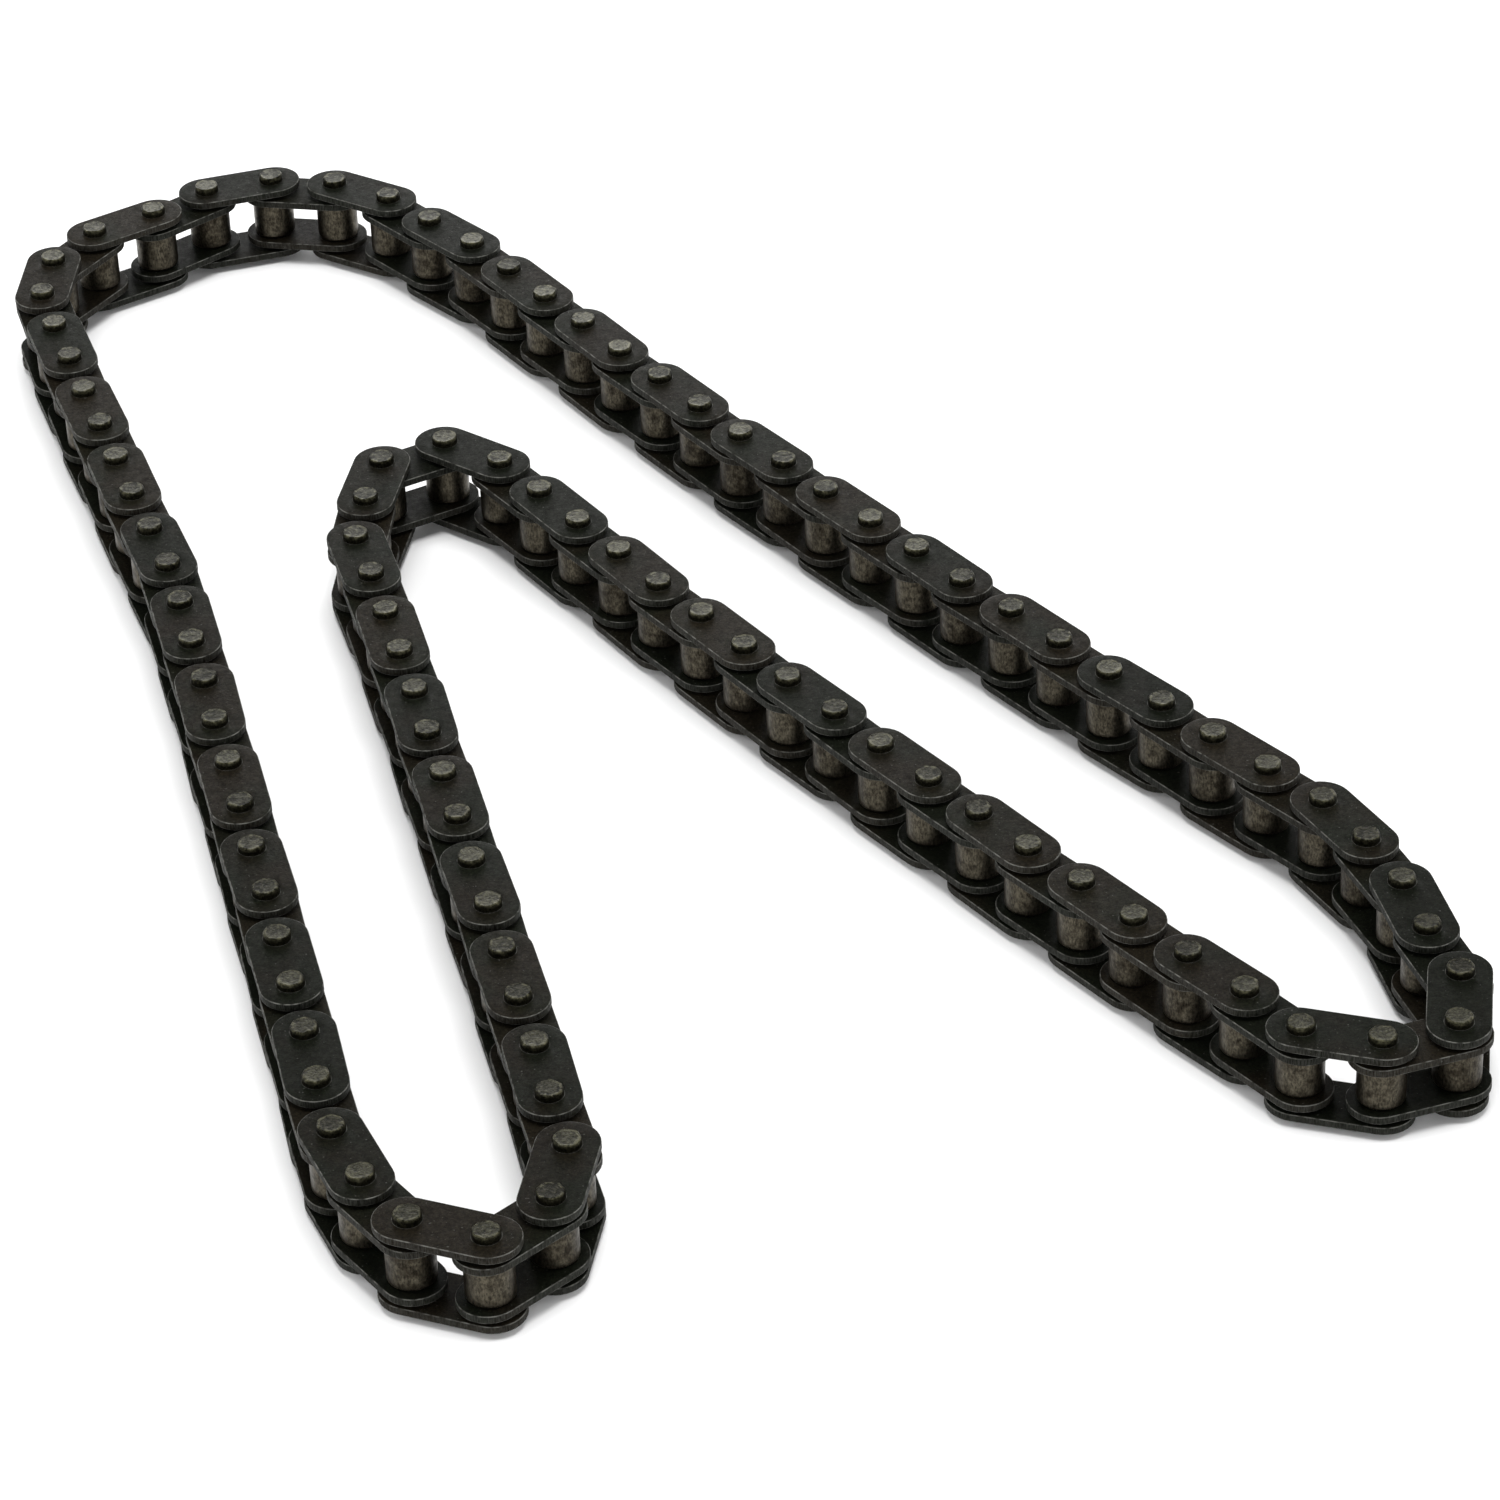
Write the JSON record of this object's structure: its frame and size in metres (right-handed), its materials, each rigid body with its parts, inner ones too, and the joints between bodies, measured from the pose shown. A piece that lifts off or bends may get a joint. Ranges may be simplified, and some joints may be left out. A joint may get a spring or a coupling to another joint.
{
  "type": "drive chain",
  "caption": "Endless roller drive chain for a small motorcycle, lying on its side in a loose loop of black side plates on steel pins and rollers.",
  "frame": {"origin": "middle of the loop's box, at the lower ends of the pins", "axes": "+Z along the pins, upwards as the chain lies on its side; +Y along the longer side of the loop, from the two hanging tips to the top bend"},
  "size_m": [0.1568, 0.2126, 0.0108],
  "materials": {
    "plate_black": "satin black oxide, lightly oiled",
    "pin_steel": "turned steel ends, riveted",
    "bush_steel": "oiled steel",
    "roller_steel": "brownish oiled steel"
  },
  "bodies": {
    "right_outer_link": {"right_outer_link_inner_plates": "plate_black", "right_outer_link_bushes": "bush_steel"},
    "right_outer_link_roller_a": {"right_outer_link_roller_a": "roller_steel"},
    "right_outer_link_roller_b": {"right_outer_link_roller_b": "roller_steel"},
    "right_outer_run": {"right_outer_run_outer_plates": "plate_black", "right_outer_run_pins": "pin_steel", "right_outer_run_inner_plates": "plate_black", "right_outer_run_bushes": "bush_steel", "right_outer_run_rollers": "roller_steel"},
    "right_tip": {"right_tip_outer_plates": "plate_black", "right_tip_pins": "pin_steel", "right_tip_inner_plates": "plate_black", "right_tip_bushes": "bush_steel", "right_tip_rollers": "roller_steel"},
    "right_tip_roller_a": {"right_tip_roller_a": "roller_steel"},
    "right_tip_roller_b": {"right_tip_roller_b": "roller_steel"},
    "right_inner_run": {"right_inner_run_inner_plates": "plate_black", "right_inner_run_bushes": "bush_steel", "right_inner_run_rollers": "roller_steel", "right_inner_run_outer_plates": "plate_black", "right_inner_run_pins": "pin_steel"},
    "right_inner_link": {"right_inner_link_inner_plates": "plate_black", "right_inner_link_bushes": "bush_steel"},
    "right_inner_link_roller_a": {"right_inner_link_roller_a": "roller_steel"},
    "right_inner_link_roller_b": {"right_inner_link_roller_b": "roller_steel"},
    "middle_bend": {"middle_bend_outer_plates": "plate_black", "middle_bend_pins": "pin_steel", "middle_bend_inner_plates": "plate_black", "middle_bend_bushes": "bush_steel", "middle_bend_rollers": "roller_steel"},
    "left_inner_link": {"left_inner_link_inner_plates": "plate_black", "left_inner_link_bushes": "bush_steel"},
    "left_inner_link_roller_a": {"left_inner_link_roller_a": "roller_steel"},
    "left_inner_link_roller_b": {"left_inner_link_roller_b": "roller_steel"},
    "left_inner_run": {"left_inner_run_outer_plates": "plate_black", "left_inner_run_pins": "pin_steel", "left_inner_run_inner_plates": "plate_black", "left_inner_run_bushes": "bush_steel", "left_inner_run_rollers": "roller_steel"},
    "left_tip": {"left_tip_outer_plates": "plate_black", "left_tip_pins": "pin_steel", "left_tip_inner_plates": "plate_black", "left_tip_bushes": "bush_steel", "left_tip_rollers": "roller_steel"},
    "left_tip_roller_a": {"left_tip_roller_a": "roller_steel"},
    "left_tip_roller_b": {"left_tip_roller_b": "roller_steel"},
    "left_outer_run": {"left_outer_run_inner_plates": "plate_black", "left_outer_run_bushes": "bush_steel", "left_outer_run_rollers": "roller_steel", "left_outer_run_outer_plates": "plate_black", "left_outer_run_pins": "pin_steel"},
    "left_outer_link": {"left_outer_link_inner_plates": "plate_black", "left_outer_link_bushes": "bush_steel"},
    "left_outer_link_roller_a": {"left_outer_link_roller_a": "roller_steel"},
    "left_outer_link_roller_b": {"left_outer_link_roller_b": "roller_steel"},
    "top_bend": {"top_bend_outer_plates": "plate_black", "top_bend_pins": "pin_steel", "top_bend_inner_plates": "plate_black", "top_bend_bushes": "bush_steel", "top_bend_rollers": "roller_steel"}
  },
  "joints": [
    {"name": "right_outer_link_pivot", "type": "hinge", "parent": "top_bend", "child": "right_outer_link", "pos_m": [-0.02407, 0.08481, 0.00538], "axis": [0, 0, 1], "range_deg": [-6, 12]},
    {"name": "right_outer_run_pivot", "type": "hinge", "parent": "right_outer_link", "child": "right_outer_run", "pos_m": [-0.01959, 0.07817, 0.00538], "axis": [0, 0, 1], "range_deg": [-6, 12]},
    {"name": "right_arm_swing", "type": "hinge", "parent": "right_outer_run", "child": "right_tip", "pos_m": [0.05466, -0.02601, 0.00538], "axis": [0, 0, 1], "range_deg": [-24, 12]},
    {"name": "right_tip_inner_pivot", "type": "hinge", "parent": "right_tip", "child": "right_inner_run", "pos_m": [0.05859, -0.07638, 0.00538], "axis": [0, 0, 1], "range_deg": [-12, 24]},
    {"name": "right_inner_run_pivot", "type": "hinge", "parent": "right_inner_run", "child": "right_inner_link", "pos_m": [-0.01566, 0.0278, 0.00538], "axis": [0, 0, 1], "range_deg": [-12, 6]},
    {"name": "middle_bend_pivot", "type": "hinge", "parent": "right_inner_link", "child": "middle_bend", "pos_m": [-0.02014, 0.03443, 0.00538], "axis": [0, 0, 1], "range_deg": [-12, 6]},
    {"name": "left_outer_link_pivot", "type": "hinge", "parent": "top_bend", "child": "left_outer_link", "pos_m": [-0.05641, 0.01579, 0.00538], "axis": [0, 0, 1], "range_deg": [-12, 6]},
    {"name": "left_outer_run_pivot", "type": "hinge", "parent": "left_outer_link", "child": "left_outer_run", "pos_m": [-0.05461, 0.008, 0.00538], "axis": [0, 0, 1], "range_deg": [-12, 6]},
    {"name": "left_arm_swing", "type": "hinge", "parent": "left_outer_run", "child": "left_tip", "pos_m": [-0.03471, -0.08591, 0.00538], "axis": [0, 0, 1], "range_deg": [-12, 24]},
    {"name": "left_tip_inner_pivot", "type": "hinge", "parent": "left_tip", "child": "left_inner_run", "pos_m": [-0.01224, -0.08967, 0.00538], "axis": [0, 0, 1], "range_deg": [-24, 12]},
    {"name": "left_inner_run_pivot", "type": "hinge", "parent": "left_inner_run", "child": "left_inner_link", "pos_m": [-0.03213, 0.00424, 0.00538], "axis": [0, 0, 1], "range_deg": [-6, 12]},
    {"name": "right_outer_link_roller_a_spin", "type": "hinge", "parent": "right_outer_link", "child": "right_outer_link_roller_a", "pos_m": [-0.02407, 0.08481, 0.00538], "axis": [0, 0, 1], "continuous": true},
    {"name": "right_outer_link_roller_b_spin", "type": "hinge", "parent": "right_outer_link", "child": "right_outer_link_roller_b", "pos_m": [-0.01959, 0.07817, 0.00538], "axis": [0, 0, 1], "continuous": true},
    {"name": "right_tip_roller_a_spin", "type": "hinge", "parent": "right_tip", "child": "right_tip_roller_a", "pos_m": [0.07385, -0.07651, 0.00538], "axis": [0, 0, 1], "continuous": true},
    {"name": "right_tip_roller_b_spin", "type": "hinge", "parent": "right_tip", "child": "right_tip_roller_b", "pos_m": [0.0662, -0.07885, 0.00538], "axis": [0, 0, 1], "continuous": true},
    {"name": "right_inner_link_roller_a_spin", "type": "hinge", "parent": "right_inner_link", "child": "right_inner_link_roller_a", "pos_m": [-0.01566, 0.0278, 0.00538], "axis": [0, 0, 1], "continuous": true},
    {"name": "right_inner_link_roller_b_spin", "type": "hinge", "parent": "right_inner_link", "child": "right_inner_link_roller_b", "pos_m": [-0.02014, 0.03443, 0.00538], "axis": [0, 0, 1], "continuous": true},
    {"name": "left_inner_link_roller_a_spin", "type": "hinge", "parent": "left_inner_link", "child": "left_inner_link_roller_a", "pos_m": [-0.03393, 0.01203, 0.00538], "axis": [0, 0, 1], "continuous": true},
    {"name": "left_inner_link_roller_b_spin", "type": "hinge", "parent": "left_inner_link", "child": "left_inner_link_roller_b", "pos_m": [-0.03213, 0.00424, 0.00538], "axis": [0, 0, 1], "continuous": true},
    {"name": "left_tip_roller_a_spin", "type": "hinge", "parent": "left_tip", "child": "left_tip_roller_a", "pos_m": [-0.01376, -0.09752, 0.00538], "axis": [0, 0, 1], "continuous": true},
    {"name": "left_tip_roller_b_spin", "type": "hinge", "parent": "left_tip", "child": "left_tip_roller_b", "pos_m": [-0.01971, -0.10287, 0.00538], "axis": [0, 0, 1], "continuous": true},
    {"name": "left_outer_link_roller_a_spin", "type": "hinge", "parent": "left_outer_link", "child": "left_outer_link_roller_a", "pos_m": [-0.05461, 0.008, 0.00538], "axis": [0, 0, 1], "continuous": true},
    {"name": "left_outer_link_roller_b_spin", "type": "hinge", "parent": "left_outer_link", "child": "left_outer_link_roller_b", "pos_m": [-0.05641, 0.01579, 0.00538], "axis": [0, 0, 1], "continuous": true}
  ],
  "couplings": [
    {"joint": "right_outer_link_pivot", "follows": "right_arm_swing", "ratio": -0.5},
    {"joint": "right_outer_run_pivot", "follows": "right_arm_swing", "ratio": -0.5},
    {"joint": "right_tip_inner_pivot", "follows": "right_arm_swing", "ratio": -1},
    {"joint": "right_inner_run_pivot", "follows": "right_arm_swing", "ratio": 0.5},
    {"joint": "middle_bend_pivot", "follows": "right_arm_swing", "ratio": 0.5},
    {"joint": "left_outer_link_pivot", "follows": "left_arm_swing", "ratio": -0.5},
    {"joint": "left_outer_run_pivot", "follows": "left_arm_swing", "ratio": -0.5},
    {"joint": "left_tip_inner_pivot", "follows": "left_arm_swing", "ratio": -1},
    {"joint": "left_inner_run_pivot", "follows": "left_arm_swing", "ratio": 0.5}
  ]
}
